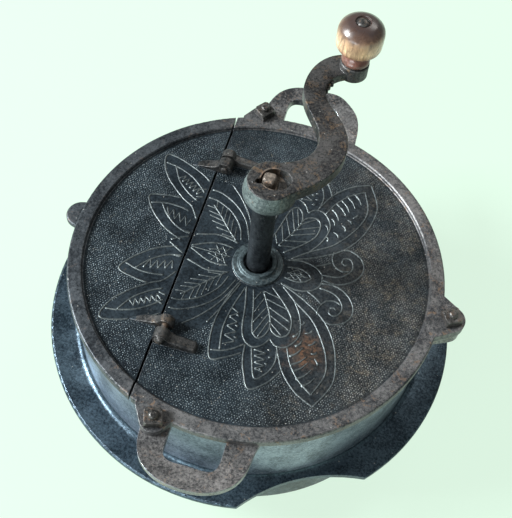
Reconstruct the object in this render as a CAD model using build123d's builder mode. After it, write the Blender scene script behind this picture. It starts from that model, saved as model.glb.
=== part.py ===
"""Stove-top coffee roaster: a round cast-iron pan with a stove flange, a bolted lid with a hinged
filling flap, and a hand crank that turns a stirrer inside.

Millimetres, +Z up. The origin is the centre of the pan's flat underside. +Y runs from the front
loop handle to the back one, and the filling flap is on the -X side.
"""

from build123d import *
from math import asin, cos, sin
import os

# ---- pan -----------------------------------------------------------------------------------
RIM_Z = 123.0  # top of the pan's wall, where the lid sits
FLOOR_T = 6.0
WALL_T = 5.0
WALL_R = 132.0  # outer radius above the flange
DRUM_R = 133.0  # outer radius below the flange, which hangs in the stove's ring
DRUM_CORNER_R = 12.0
FLANGE_R = 155.0
FLANGE_TOP = 55.0
FLANGE_T = 5.0
FLANGE_FILLET_R = 5.0
NOTCH_R = 121.5  # the scallop in the flange is an arc of this radius ...
NOTCH_DEEPEST_R = 137.8  # ... which comes this close to the pan's axis
NOTCH_ANGLE = -60.3  # direction of the scallop, degrees from +X
SOCKET_R = 6.1  # step bearing for the spindle's foot
SOCKET_FLOOR = 8.0
SOCKET_BOSS_R = 13.0
SOCKET_BOSS_TOP = 17.0

# ---- loop handles, cast with the pan ---------------------------------------------------------
HANDLE_T = 6.0
HANDLE_REACH = 173.0  # |y| of the outer edge
HANDLE_FLAT_REACH = 147.0  # |y| where the handle leaves the lid's plane and starts to rise
HANDLE_RISE = 7.0
HANDLE_ROOT_R = 129.0  # the legs run into the wall as far as this radius
FRONT_LOOP_X = -2.0  # centre line of the front handle, which is symmetrical
FRONT_LOOP = ((46.0, 120.0), (38.5, 134.0), (37.0, 146.0), (32.5, 158.5), (20.0, 169.0))
FRONT_WINDOW = (-2.0, 18.8, 156.5)  # centre x, half width and |y| reach of the finger window
BACK_LOOP = (  # the back handle bulges to the right
    (-41.0, 120.0),
    (-36.6, 136.0),
    (-32.6, 152.0),
    (-27.0, 163.0),
    (-14.3, 171.0),
    (8.0, HANDLE_REACH),
    (20.8, 172.6),
    (30.6, 167.0),
    (38.2, 159.5),
    (42.2, 149.0),
    (43.2, 136.0),
    (46.0, 120.0),
)
BACK_WINDOW = (3.6, 20.8, 160.5)

# ---- lid and flap ----------------------------------------------------------------------------
LID_R = 135.0
LID_EDGE_T = 7.0
LID_TOP = RIM_Z + LID_EDGE_T
BAND_W = 10.5  # raised band around the lid's edge
FIELD_DROP = 3.2  # the flat field lies this far below the band
FIELD_Z = LID_TOP - FIELD_DROP
SPLIT_X = -52.1  # the flap ends here
SPLIT_GAP = 1.6
BOSS_BASE_R = 18.6
BOSS_STEP = 1.9  # height of the boss's foot
BOSS_RIM_R = 13.4
BOSS_TOP = LID_TOP + 1.3
CUP_R = 10.4
CUP_FLOOR = LID_TOP - 3.7
UNDER_BOSS_R = 15.0
UNDER_BOSS_LOW = 112.0
TAB_Y = 2.0  # the flap's thumb tab
TAB_R = 11.0
TAB_REACH = 146.0
TAB_TOP = LID_TOP - 3.2

# ---- hinges, one at each end of the split -------------------------------------------------------
HINGE_X = -46.0
HINGE_Z = LID_TOP + 3.0
KNUCKLE_R = 5.5
PIN_R = 2.5
# |y| of the inner and outer faces of the flap's knuckle and then of the lid's hinge lug; the two
# hinges were set by eye and differ a little
HINGE_Y = {1: (68.8, 76.6, 79.0, 85.0), -1: (63.8, 69.8, 74.0, 81.8)}
STRAP_TIP_X = -72.5
STRAP_TIP_LIFT = {1: 1.5, -1: 0.0}  # how far each tip is turned towards +y
BAR_END_X = -20.5
BAR_TOP = LID_TOP + 4.0

# ---- bolts and square nuts --------------------------------------------------------------------
BOLT_R = 3.5
BOLT_HEAD_R = 5.9
BOLT_HEAD_T = 4.5
BOLT_HOLE_R = 3.8
BOLT_END = 3.4  # dome that stands out of the nut
NUT_SIDE = 11.8
NUT_T = 6.0
SIDE_BOLT = (-32.2, 134.5)  # the two bolts on the handles, at +y and -y
RIGHT_BOLT = (141.3, -3.5)
LUG_R = 9.2
RIGHT_LUG_R = 10.4
RIGHT_LUG_LOW = RIM_Z - 10.0

# ---- crank -------------------------------------------------------------------------------------
HUB_TOP = LID_TOP + 97.9
HUB_H = 17.5
HUB_R = 15.3
HUB_FLARE_R = 17.6  # the hub swells below its rim
HUB_CENTRE = (1.8, 0.4)  # the hub was cast a little off the spindle's axis
ARM_T = 9.0  # near the hub; the underside rises to ARM_LOW at the grip
ARM_LOW = HUB_TOP - 6.4
GRIP = (30.4, 112.5)  # axis of the knob
END_BOSS_R = 10.1
END_BOSS_TOP = ARM_LOW + 11.0
RECESS_DEPTH = 7.5
TANG = 10.0  # side of the spindle's square end
PEEN_PROUD = 1.6
WEDGE_T = 1.9

# ---- knob --------------------------------------------------------------------------------------
WASHER_T = 0.8
KNOB_LOW = END_BOSS_TOP + WASHER_T + 0.3
KNOB_R = 15.9
KNOB_H = 35.5
RIVET_R = 3.0
RIVET_HEAD_R = 4.4

# ---- spindle and stirrer ------------------------------------------------------------------------
STEM_R = 8.35  # spindle just above the lid
STEM_TOP_R = 7.8
SHAFT_R = 6.5  # spindle inside the pan
FOOT_R = 6.0
FOOT_TOP = 20.0
STIRRER_LOW = 20.5
STIRRER_HUB_R = 14.0
STIRRER_HUB_TOP = 50.0
ARM_BAR_LOW = 38.0
ARM_BAR_T = 5.0
ARM_BAR_W = 14.0
ARM_BAR_IN = 16.0
ARM_BAR_OUT = 114.0
EAR_T = 6.0
EAR_OUT = 38.0
BLADE_IN = 42.0
BLADE_OUT = 121.0
BLADE_LOW = FLOOR_T + 1.6
BLADE_T = 3.0
CROSS_PIN_R = 2.5
CROSS_PIN_Z = 30.0
COTTER_R = 1.6
THRUST_T = 2.0
THRUST_TOP = UNDER_BOSS_LOW - 0.3

CLEAR = 0.08  # radial clearance of a running fit
PRESS = 0.02  # radial interference of a press fit

os.makedirs("parts", exist_ok=True)


def save(piece, name):
    """Label one finished piece and write its STEP file."""
    piece.label = name
    export_step(piece, f"parts/{name}.step")


def dome_arc(radius, low, rise):
    """Arc of a dome's half section, from its rim at (radius, low) to its top on the axis."""
    ball_r = (radius**2 + rise**2) / (2 * rise)
    half = asin(radius / ball_r) / 2
    middle = (ball_r * sin(half), low + rise - ball_r + ball_r * cos(half))
    ThreePointArc((radius, low), middle, (0, low + rise))


# =================================================================================================
# pan
# =================================================================================================


def window_outline(centre_x, half, reach):
    """Closed outline of the finger window inside a loop."""
    left_x = centre_x - half
    right_x = centre_x + half
    shoulder_y = reach - 10.0
    Polyline((left_x, shoulder_y), (left_x, 126.0), (right_x, 126.0), (right_x, shoulder_y))
    Spline(
        (left_x, shoulder_y),
        (centre_x, reach),
        (right_x, shoulder_y),
        tangents=[(0, 1), (0, -1)],
    )


def loop_handle(outline, window):
    """Loop handle on the +y side: flat beside the lid, then rising to its outer edge."""
    with BuildPart() as handle:
        with BuildSketch(Plane.XY.offset(RIM_Z - HANDLE_T - 2)):
            with BuildLine():
                Spline(*outline)
                Line(outline[-1], outline[0])
            make_face()
            with BuildLine():
                window_outline(*window)
            make_face(mode=Mode.SUBTRACT)
            Circle(HANDLE_ROOT_R, mode=Mode.SUBTRACT)
        extrude(amount=HANDLE_RISE + HANDLE_T + 6)
        with BuildSketch(Plane.YZ) as band_section:
            with BuildLine():
                Polyline(
                    (120, RIM_Z),
                    (HANDLE_FLAT_REACH, RIM_Z),
                    (HANDLE_REACH + 2, RIM_Z + HANDLE_RISE),
                    (HANDLE_REACH + 2, RIM_Z + HANDLE_RISE - HANDLE_T),
                    (HANDLE_FLAT_REACH, RIM_Z - HANDLE_T),
                    (120, RIM_Z - HANDLE_T),
                    close=True,
                )
            make_face()
            bends = [
                band_section.vertices().sort_by_distance((HANDLE_FLAT_REACH, z))[0]
                for z in (RIM_Z, RIM_Z - HANDLE_T)
            ]
            fillet(bends, 18)
        extrude(amount=60, both=True, mode=Mode.INTERSECT)
    return handle.part


left_half = [(FRONT_LOOP_X - x, y) for x, y in FRONT_LOOP]
right_half = [(FRONT_LOOP_X + x, y) for x, y in reversed(FRONT_LOOP)]
front_outline = [*left_half, (FRONT_LOOP_X, HANDLE_REACH), *right_half]
front_handle = mirror(loop_handle(front_outline, FRONT_WINDOW), about=Plane.XZ)
back_handle = loop_handle(BACK_LOOP, BACK_WINDOW)

with BuildPart() as pan:
    with BuildSketch(Plane.XZ) as section:
        with BuildLine():
            Polyline(
                (0, 0),
                (DRUM_R, 0),
                (DRUM_R, FLANGE_TOP - FLANGE_T),
                (FLANGE_R, FLANGE_TOP - FLANGE_T),
                (FLANGE_R, FLANGE_TOP),
                (WALL_R, FLANGE_TOP),
                (WALL_R, RIM_Z),
                (WALL_R - WALL_T, RIM_Z),
                (WALL_R - WALL_T, FLOOR_T),
                (0, FLOOR_T),
                close=True,
            )
        make_face()
        fillet(section.vertices().sort_by_distance((DRUM_R, 0))[0], DRUM_CORNER_R)
        fillet(section.vertices().sort_by_distance((WALL_R - WALL_T, FLOOR_T))[0], 8)
        fillet(section.vertices().sort_by_distance((WALL_R, FLANGE_TOP))[0], FLANGE_FILLET_R)
        fillet(section.vertices().sort_by_distance((FLANGE_R, FLANGE_TOP))[0], 1.5)
        fillet(section.vertices().sort_by_distance((FLANGE_R, FLANGE_TOP - FLANGE_T))[0], 1.0)
    revolve(axis=Axis.Z)

    # scallop in the flange
    notch_far = NOTCH_DEEPEST_R + NOTCH_R
    with BuildSketch(Plane.XY.offset(FLANGE_TOP - FLANGE_T - 1)):
        with PolarLocations(notch_far, 1, start_angle=NOTCH_ANGLE):
            Circle(NOTCH_R)
    extrude(amount=FLANGE_T + 2, mode=Mode.SUBTRACT)

    # step bearing for the spindle
    with BuildSketch(Plane.XY.offset(FLOOR_T - 1)):
        Circle(SOCKET_BOSS_R + 4)
    extrude(amount=SOCKET_BOSS_TOP - FLOOR_T + 1, taper=18)
    with BuildSketch(Plane.XY.offset(SOCKET_BOSS_TOP)):
        Circle(SOCKET_R)
    extrude(amount=SOCKET_FLOOR - SOCKET_BOSS_TOP, mode=Mode.SUBTRACT)

    # loop handles, front and back
    add(front_handle)
    add(back_handle)

    # lug for the right-hand bolt
    with BuildSketch(Plane.XY.offset(RIM_Z)):
        with Locations(RIGHT_BOLT):
            Circle(RIGHT_LUG_R - 0.8)
        with Locations((WALL_R - 4, RIGHT_BOLT[1] + 15), (WALL_R - 4, RIGHT_BOLT[1] - 15)):
            Circle(2.0)
        make_hull()
        Circle(HANDLE_ROOT_R, mode=Mode.SUBTRACT)
    extrude(amount=RIGHT_LUG_LOW - RIM_Z)

    # bolt holes
    with BuildSketch(Plane.XY.offset(RIM_Z + 1)):
        with Locations(SIDE_BOLT, (SIDE_BOLT[0], -SIDE_BOLT[1]), RIGHT_BOLT):
            Circle(BOLT_HOLE_R)
    extrude(amount=-13, mode=Mode.SUBTRACT)
save(pan.part, "pan")

# =================================================================================================
# lid plate and filling flap
# =================================================================================================


def lid_section():
    """Half section of the whole lid disc: a flat field with a raised band around it."""
    band_in = LID_R - BAND_W
    Polyline(
        (0, RIM_Z),
        (LID_R, RIM_Z),
        (LID_R, LID_TOP),
        (band_in, LID_TOP),
        (band_in, FIELD_Z),
        (0, FIELD_Z),
        close=True,
    )


def half_plane(low_x, high_x):
    """Box that keeps one side of the split between flap and lid plate."""
    with Locations(((low_x + high_x) / 2, 0, LID_TOP)):
        Box(high_x - low_x, 400, 60, mode=Mode.INTERSECT)


with BuildPart() as lid_plate:
    with BuildSketch(Plane.XZ) as disc:
        with BuildLine():
            lid_section()
        make_face()
        fillet(disc.vertices().sort_by_distance((LID_R, LID_TOP))[0], 1.6)
        chamfer(disc.vertices().sort_by_distance((LID_R - BAND_W, LID_TOP))[0], 0.9)
        fillet(disc.vertices().sort_by_distance((LID_R - BAND_W, FIELD_Z))[0], 0.8)
    revolve(axis=Axis.Z)

    # lugs for the three bolts
    with BuildSketch(Plane.XY.offset(RIM_Z)):
        for side in (1, -1):
            with BuildSketch(mode=Mode.ADD):
                with Locations((SIDE_BOLT[0], side * SIDE_BOLT[1])):
                    Circle(LUG_R)
                with Locations((SIDE_BOLT[0] - 13, side * 127), (SIDE_BOLT[0] + 13, side * 128)):
                    Circle(2.0)
                make_hull()
        with BuildSketch(mode=Mode.ADD):
            with Locations(RIGHT_BOLT):
                Circle(RIGHT_LUG_R)
            with Locations((LID_R - 5, RIGHT_BOLT[1] + 17), (LID_R - 5, RIGHT_BOLT[1] - 17)):
                Circle(2.0)
            make_hull()
        Circle(LID_R - BAND_W + 2, mode=Mode.SUBTRACT)
    extrude(amount=LID_EDGE_T)
    with BuildSketch(Plane.XY.offset(RIM_Z - 1)):
        with Locations(SIDE_BOLT, (SIDE_BOLT[0], -SIDE_BOLT[1]), RIGHT_BOLT):
            Circle(BOLT_HOLE_R)
    extrude(amount=LID_EDGE_T + 2, mode=Mode.SUBTRACT)

    # centre boss: flared foot, cup with a raised rim, and the bearing below
    with BuildSketch(Plane.XZ) as boss:
        with BuildLine():
            Polyline(
                (0, UNDER_BOSS_LOW),
                (UNDER_BOSS_R - 1.5, UNDER_BOSS_LOW),
                (UNDER_BOSS_R, RIM_Z + 1),
                (BOSS_BASE_R, RIM_Z + 1),
                (BOSS_BASE_R, FIELD_Z),
                (BOSS_BASE_R - 0.3, FIELD_Z + BOSS_STEP),
                (BOSS_RIM_R + 1.0, FIELD_Z + BOSS_STEP + 0.3),
                (BOSS_RIM_R, BOSS_TOP),
                (CUP_R, BOSS_TOP),
                (CUP_R - 0.6, CUP_FLOOR),
                (0, CUP_FLOOR),
                close=True,
            )
        make_face()
        fillet(boss.vertices().sort_by_distance((BOSS_RIM_R, BOSS_TOP))[0], 1.0)
        fillet(boss.vertices().sort_by_distance((CUP_R, BOSS_TOP))[0], 1.0)
        step_top = FIELD_Z + BOSS_STEP
        fillet(boss.vertices().sort_by_distance((BOSS_RIM_R + 1.0, step_top + 0.3))[0], 1.2)
        fillet(boss.vertices().sort_by_distance((BOSS_BASE_R - 0.3, step_top))[0], 0.8)
    revolve(axis=Axis.Z)
    with BuildSketch(Plane.XY.offset(CUP_FLOOR)):
        Circle(CUP_R - 0.6)
    extrude(amount=20, mode=Mode.SUBTRACT)
    with BuildSketch(Plane.XY.offset(UNDER_BOSS_LOW - 1)):
        Circle(SHAFT_R + CLEAR)
    extrude(amount=30, mode=Mode.SUBTRACT)

    half_plane(SPLIT_X + SPLIT_GAP / 2, 200)

    # hinge lugs, each with its tail bar
    for side in (1, -1):
        lug_in, lug_out = HINGE_Y[side][2:]
        with BuildSketch(Plane.XZ.offset(-side * (lug_in + lug_out) / 2)) as lug:
            with BuildLine():
                Polyline(
                    (SPLIT_X + SPLIT_GAP / 2 + 0.2, FIELD_Z - 1),
                    (HINGE_X - KNUCKLE_R + 0.3, HINGE_Z),
                    (HINGE_X, HINGE_Z + KNUCKLE_R - 1),
                    (HINGE_X + 6.0, BAR_TOP),
                    (BAR_END_X - 1.0, BAR_TOP - 2.0),
                    (BAR_END_X, FIELD_Z - 1),
                    close=True,
                )
            make_face()
            with Locations((HINGE_X, HINGE_Z)):
                Circle(KNUCKLE_R)
        extrude(amount=(lug_out - lug_in) / 2, both=True)
    bar_edges = lid_plate.edges().filter_by(
        lambda e: e.center().Z > FIELD_Z + 2.5
        and 72.0 < abs(e.center().Y) < 86.0
        and e.center().X > HINGE_X + 8
        and e.center().X < BAR_END_X + 1
    )
    fillet(bar_edges, 1.9)
    with BuildSketch(Plane.XZ.offset(-100)):
        with Locations((HINGE_X, HINGE_Z)):
            Circle(PIN_R - PRESS)
    extrude(amount=200, mode=Mode.SUBTRACT)
save(lid_plate.part, "lid_plate")


def strap_profile():
    """Side view of a hinge strap: low at its tip, swept up into the knuckle."""
    edge_x = SPLIT_X - SPLIT_GAP / 2
    Spline(
        (STRAP_TIP_X, FIELD_Z),
        (STRAP_TIP_X + 9, FIELD_Z + 2.2),
        (edge_x + 1.5, FIELD_Z + 7.6),
        (HINGE_X, HINGE_Z + KNUCKLE_R),
        tangents=[(1, 0.2), (1, 0)],
    )
    Polyline(
        (HINGE_X, HINGE_Z + KNUCKLE_R),
        (HINGE_X, HINGE_Z - KNUCKLE_R),
        (edge_x, HINGE_Z - KNUCKLE_R),
        (edge_x, FIELD_Z - 1),
        (STRAP_TIP_X, FIELD_Z - 1),
        (STRAP_TIP_X, FIELD_Z),
    )


def strap_plan(side):
    """Plan of a hinge strap: half a leaf, its straight edge on the -y side and its other edge
    curved from the tip out to the knuckle's width. Both straps come from one pattern."""
    inner, outer = HINGE_Y[side][:2]
    straight = min(side * inner, side * outer)
    wide = straight + outer - inner
    tip = straight + 0.5 + STRAP_TIP_LIFT[side]
    right_x = HINGE_X + KNUCKLE_R + 1
    Polyline((STRAP_TIP_X, tip), (right_x, straight), (right_x, wide), (STRAP_TIP_X + 19, wide))
    Spline(
        (STRAP_TIP_X + 19, wide),
        (STRAP_TIP_X + 9, wide - 0.8),
        (STRAP_TIP_X + 2, tip + 1.8),
        (STRAP_TIP_X, tip),
        tangents=[(-1, 0), (-0.4, -1)],
    )


def hinge_strap(side):
    """One leaf-shaped strap with its knuckle, on the +y or -y side."""
    with BuildPart() as strap:
        with BuildSketch(Plane.XY.offset(FIELD_Z - 2)):
            with BuildLine():
                strap_plan(side)
            make_face()
        extrude(amount=20)
        with BuildSketch(Plane.XZ):
            with BuildLine():
                strap_profile()
            make_face()
            with Locations((HINGE_X, HINGE_Z)):
                Circle(KNUCKLE_R)
        extrude(amount=100, both=True, mode=Mode.INTERSECT)
    return strap.part


straps = [hinge_strap(1), hinge_strap(-1)]

with BuildPart() as flap:
    with BuildSketch(Plane.XZ) as disc:
        with BuildLine():
            lid_section()
        make_face()
        fillet(disc.vertices().sort_by_distance((LID_R, LID_TOP))[0], 1.6)
        chamfer(disc.vertices().sort_by_distance((LID_R - BAND_W, LID_TOP))[0], 0.9)
        fillet(disc.vertices().sort_by_distance((LID_R - BAND_W, FIELD_Z))[0], 0.8)
    revolve(axis=Axis.Z)
    half_plane(-200, SPLIT_X - SPLIT_GAP / 2)

    # thumb tab
    with BuildSketch(Plane.XY.offset(RIM_Z)):
        with Locations((TAB_R - TAB_REACH, TAB_Y)):
            Circle(TAB_R)
        with Locations((-LID_R + 6, TAB_Y + 11), (-LID_R + 6, TAB_Y - 11)):
            Circle(1.5)
        make_hull()
        Circle(LID_R - 6, mode=Mode.SUBTRACT)
    extrude(amount=TAB_TOP - RIM_Z)
    tab_rim = flap.edges().filter_by(
        lambda e: abs(e.center().Z - TAB_TOP) < 0.01 and e.center().X < -LID_R - 3
    )
    fillet(tab_rim, 1.5)

    for strap in straps:
        add(strap)
    with BuildSketch(Plane.XZ.offset(-100)):
        with Locations((HINGE_X, HINGE_Z)):
            Circle(PIN_R + CLEAR)
    extrude(amount=200, mode=Mode.SUBTRACT)
save(flap.part, "flap")


def hinge_pin(side):
    """Pin with a domed head outside the lid's lug; its other end stands just out of the knuckle."""
    knuckle_in = HINGE_Y[side][0]
    shank = HINGE_Y[side][3] - knuckle_in + 1.4
    with BuildPart() as pin:
        with BuildSketch(Plane.XZ) as half:
            with BuildLine():
                Polyline((0, 0), (PIN_R - 0.8, 0), (PIN_R, 0.8), (PIN_R, shank), (4.2, shank))
                dome_arc(4.2, shank, 2.8)
                Line((0, shank + 2.8), (0, 0))
            make_face()
        revolve(axis=Axis.Z)
    along = Location((HINGE_X, side * (knuckle_in - 1.4), HINGE_Z), (-side * 90, 0, 0))
    return pin.part.moved(along)


for side, where in ((1, "back"), (-1, "front")):
    save(hinge_pin(side), f"hinge_pin_{where}")

# =================================================================================================
# lid bolts and nuts
# =================================================================================================


def lid_bolt(x, y, seat_z):
    """Cheese-head bolt put in from below; seat_z is the underside of the pan's lug."""
    with BuildPart() as bolt:
        with BuildSketch(Plane.XY.offset(seat_z - BOLT_HEAD_T)):
            with Locations((x, y)):
                Circle(BOLT_HEAD_R)
        extrude(amount=BOLT_HEAD_T)
        fillet(bolt.edges().filter_by(GeomType.CIRCLE).group_by(Axis.Z)[0], 1.2)
        with BuildSketch(Plane.XY.offset(seat_z)):
            with Locations((x, y)):
                Circle(BOLT_R)
        extrude(amount=LID_TOP + NUT_T + BOLT_END - seat_z)
        fillet(bolt.edges().filter_by(GeomType.CIRCLE).group_by(Axis.Z)[-1], BOLT_R * 0.75)
    return bolt.part


def lid_nut(x, y, turn):
    """Square nut with its upper corners turned off."""
    with BuildPart() as nut:
        with BuildSketch(Plane.XY.offset(LID_TOP)):
            with Locations(Location((x, y, 0), (0, 0, turn))):
                Rectangle(NUT_SIDE, NUT_SIDE)
        extrude(amount=NUT_T)
        with BuildSketch(Plane.XY.offset(LID_TOP)):
            with Locations((x, y)):
                Circle(NUT_SIDE * 0.74)
        extrude(amount=NUT_T, taper=14, mode=Mode.INTERSECT)
        with BuildSketch(Plane.XY.offset(LID_TOP)):
            with Locations((x, y)):
                Circle(BOLT_R - PRESS)
        extrude(amount=NUT_T, mode=Mode.SUBTRACT)
    return nut.part


BOLTS = {
    "front": (SIDE_BOLT[0], -SIDE_BOLT[1], RIM_Z - HANDLE_T, 17),
    "back": (SIDE_BOLT[0], SIDE_BOLT[1], RIM_Z - HANDLE_T, 52),
    "right": (*RIGHT_BOLT, RIGHT_LUG_LOW, 30),
}
for where, (x, y, seat_z, turn) in BOLTS.items():
    save(lid_bolt(x, y, seat_z), f"lid_bolt_{where}")
    save(lid_nut(x, y, turn), f"lid_nut_{where}")

# =================================================================================================
# spindle, crank and knob
# =================================================================================================

with BuildPart() as spindle:
    with BuildSketch(Plane.XZ):
        with BuildLine():
            Polyline(
                (0, SOCKET_FLOOR + 0.3),
                (FOOT_R - 1.5, SOCKET_FLOOR + 0.3),
                (FOOT_R, SOCKET_FLOOR + 1.8),
                (FOOT_R, FOOT_TOP),
                (SHAFT_R, FOOT_TOP + 0.5),
                (SHAFT_R, CUP_FLOOR + 0.3),
                (STEM_R, CUP_FLOOR + 0.3),
                (STEM_TOP_R, HUB_TOP - HUB_H),
                (0, HUB_TOP - HUB_H),
                close=True,
            )
        make_face()
    revolve(axis=Axis.Z)
    # square end, its tip peened over to one side inside the crank's recess
    with BuildSketch(Plane.XY.offset(HUB_TOP - HUB_H)):
        Rectangle(TANG, TANG)
    extrude(amount=HUB_H - RECESS_DEPTH)
    with BuildSketch(Plane.XY.offset(HUB_TOP - RECESS_DEPTH)):
        with Locations((0.7, 1.8)):
            RectangleRounded(8.6, 8.0, 2.4)
    extrude(amount=RECESS_DEPTH + PEEN_PROUD)
    fillet(spindle.edges().group_by(Axis.Z)[-1], 2.1)
    with BuildSketch(Plane.XZ.offset(-20)):
        with Locations((0, CROSS_PIN_Z)):
            Circle(CROSS_PIN_R - PRESS)
    extrude(amount=40, mode=Mode.SUBTRACT)
    with BuildSketch(Plane.YZ.offset(-20)):
        with Locations((0, THRUST_TOP - THRUST_T - COTTER_R)):
            Circle(COTTER_R - PRESS)
    extrude(amount=40, mode=Mode.SUBTRACT)
save(spindle.part, "spindle")


def arm_outline():
    """Plan of the S-shaped arm: two smooth edges that narrow from the hub to the grip."""
    Spline(
        (-6.0, 12.5),
        (9.3, 18.5),
        (19.1, 26.4),
        (22.6, 42.5),
        (13.4, 60.3),
        (3.3, 77.6),
        (2.0, 92.0),
        (8.1, 110.4),
        (25.5, 122.0),
    )
    Line((25.5, 122.0), (36.5, 105.0))
    Spline(
        (36.5, 105.0),
        (25.0, 102.0),
        (17.0, 91.0),
        (19.2, 78.8),
        (32.6, 62.4),
        (41.5, 45.0),
        (40.3, 25.1),
        (28.8, 6.0),
        (8.0, -12.0),
    )
    Line((8.0, -12.0), (-6.0, 12.5))


with BuildPart() as crank_arm:
    with BuildSketch(Plane.XY.offset(HUB_TOP - ARM_T)):
        with BuildLine():
            arm_outline()
        make_face()
    extrude(amount=ARM_T)
    # side view: full depth near the hub, thinner towards the grip
    with BuildSketch(Plane.YZ):
        with BuildLine():
            Polyline(
                (-30, HUB_TOP - ARM_T),
                (55, HUB_TOP - ARM_T),
                (103, ARM_LOW),
                (140, ARM_LOW),
                (140, HUB_TOP),
                (-30, HUB_TOP),
                close=True,
            )
        make_face()
    extrude(amount=80, both=True, mode=Mode.INTERSECT)
    top_edges = crank_arm.edges().filter_by(
        lambda e: e.length > 60 and abs(e.center().Z - HUB_TOP) < 0.1
    )
    fillet(top_edges, 0.8)

    # ragged casting flash on the inner edge
    with BuildSketch(Plane.XY.offset(ARM_LOW + 0.8)):
        with Locations((17.6, 91.4)):
            Circle(1.7)
        with Locations((19.4, 94.9)):
            Circle(1.3)
        with Locations((17.4, 87.4)):
            Circle(1.1)
    extrude(amount=4.2)

    hub_axis = (*HUB_CENTRE, 0)
    with BuildSketch(Plane(origin=hub_axis, x_dir=(1, 0, 0), z_dir=(0, -1, 0))):
        with BuildLine():
            Polyline((0, HUB_TOP), (HUB_R - 0.6, HUB_TOP), (HUB_R, HUB_TOP - 0.6))
            Spline(
                (HUB_R, HUB_TOP - 0.6),
                (HUB_FLARE_R - 1.0, HUB_TOP - 5.5),
                (HUB_FLARE_R, HUB_TOP - 11.5),
                (HUB_FLARE_R - 1.3, HUB_TOP - 15.6),
                (HUB_R - 2.6, HUB_TOP - HUB_H),
            )
            Polyline((HUB_R - 2.6, HUB_TOP - HUB_H), (0, HUB_TOP - HUB_H), (0, HUB_TOP))
        make_face()
    revolve(axis=Axis(hub_axis, (0, 0, 1)))
    with BuildSketch(Plane.XY.offset(ARM_LOW)):
        with Locations(GRIP):
            Circle(END_BOSS_R)
    extrude(amount=END_BOSS_TOP - ARM_LOW)
    fillet(crank_arm.edges().filter_by(GeomType.CIRCLE).group_by(Axis.Z)[-1], 1.0)

    # recess over the spindle's square end, with a small pin hole beside it
    with BuildSketch(Plane.XY.offset(HUB_TOP - RECESS_DEPTH)):
        with Locations(Location((4.9, 2.1, 0), (0, 0, 8))):
            Ellipse(9.9, 8.3)
        with Locations((-5.6, -2.5)):
            Circle(2.0)
        with Locations((-3.4, -1.4)):
            Circle(2.5)
    extrude(amount=RECESS_DEPTH + 1, mode=Mode.SUBTRACT)
    with BuildSketch(Plane.XY.offset(HUB_TOP - HUB_H - 1)):
        Rectangle(TANG, TANG)
    extrude(amount=HUB_H + 1 - RECESS_DEPTH, mode=Mode.SUBTRACT)
    # end of the small pin beside the hole
    with BuildSketch(Plane.XY.offset(HUB_TOP - 1)):
        with Locations((-8.6, -4.0)):
            Circle(1.3)
    extrude(amount=1.8, taper=20)
    with BuildSketch(Plane.XY.offset(ARM_LOW - 1)):
        with Locations(GRIP):
            Circle(RIVET_R - PRESS)
    extrude(amount=20, mode=Mode.SUBTRACT)
save(crank_arm.part, "crank_arm")

with BuildPart() as wedge_key:
    with BuildSketch(Plane.XY.offset(HUB_TOP - RECESS_DEPTH)):
        with Locations(Location((8.9, 2.0, 0), (0, 0, 12))):
            RectangleRounded(5.0, 7.5, 1.2)
        Rectangle(TANG, TANG, mode=Mode.SUBTRACT)
    extrude(amount=WEDGE_T, taper=4)
save(wedge_key.part, "wedge_key")


def ring(x, y, low, high, outer_r, inner_r):
    """Plain washer standing on z = low."""
    with BuildPart() as washer:
        with BuildSketch(Plane.XY.offset(low)):
            with Locations((x, y)):
                Circle(outer_r)
                Circle(inner_r, mode=Mode.SUBTRACT)
        extrude(amount=high - low)
    return washer.part


save(ring(*GRIP, END_BOSS_TOP, END_BOSS_TOP + WASHER_T, 8.8, RIVET_R + 0.2), "knob_washer")

with BuildPart() as knob:
    with BuildSketch(Plane.XZ) as turned:
        with BuildLine():
            Spline(
                (9.3, 0),
                (9.8, 1.5),
                (7.9, 5.0),
                (6.7, 9.5),
                (8.2, 14.0),
                (13.2, 19.0),
                (KNOB_R, 25.1),
                tangents=[(1, 0.8), (0, 1)],
            )
            Spline(
                (KNOB_R, 25.1),
                (14.9, 29.3),
                (11.4, 32.7),
                (5.6, KNOB_H - 0.6),
                tangents=[(0, 1), (-1, 0.22)],
            )
            Polyline(
                (5.6, KNOB_H - 0.6),
                (5.0, KNOB_H - 1.6),
                (RIVET_R + 0.1, KNOB_H - 1.6),
                (RIVET_R + 0.1, 0),
                (9.3, 0),
            )
        make_face()
    revolve(axis=Axis.Z)
save(knob.part.moved(Location((*GRIP, KNOB_LOW))), "knob")

with BuildPart() as knob_rivet:
    with BuildSketch(Plane.XZ):
        with BuildLine():
            head_low = KNOB_LOW + KNOB_H - 1.4
            Polyline(
                (0, ARM_LOW - 1.5),
                (4.0, ARM_LOW - 1.5),
                (4.8, ARM_LOW),
                (RIVET_R, ARM_LOW),
                (RIVET_R, head_low),
                (RIVET_HEAD_R, head_low),
            )
            dome_arc(RIVET_HEAD_R, head_low, 1.8)
            Line((0, head_low + 1.8), (0, ARM_LOW - 1.5))
        make_face()
    revolve(axis=Axis.Z)
save(knob_rivet.part.moved(Location((*GRIP, 0))), "knob_rivet")

# =================================================================================================
# thrust washer, cotter and stirrer
# =================================================================================================

save(ring(0, 0, THRUST_TOP - THRUST_T, THRUST_TOP, 12.5, SHAFT_R + 0.2), "thrust_washer")

cotter_z = THRUST_TOP - THRUST_T - COTTER_R
with BuildPart() as cotter_pin:
    with BuildSketch(Plane.YZ.offset(-12.0)):
        with Locations((0, cotter_z)):
            Circle(COTTER_R)
    extrude(amount=26.0)
    with Locations((16.2, 0, cotter_z)):
        Torus(2.8, 1.1, rotation=(90, 0, 0))
save(cotter_pin.part, "cotter_pin")

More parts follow.
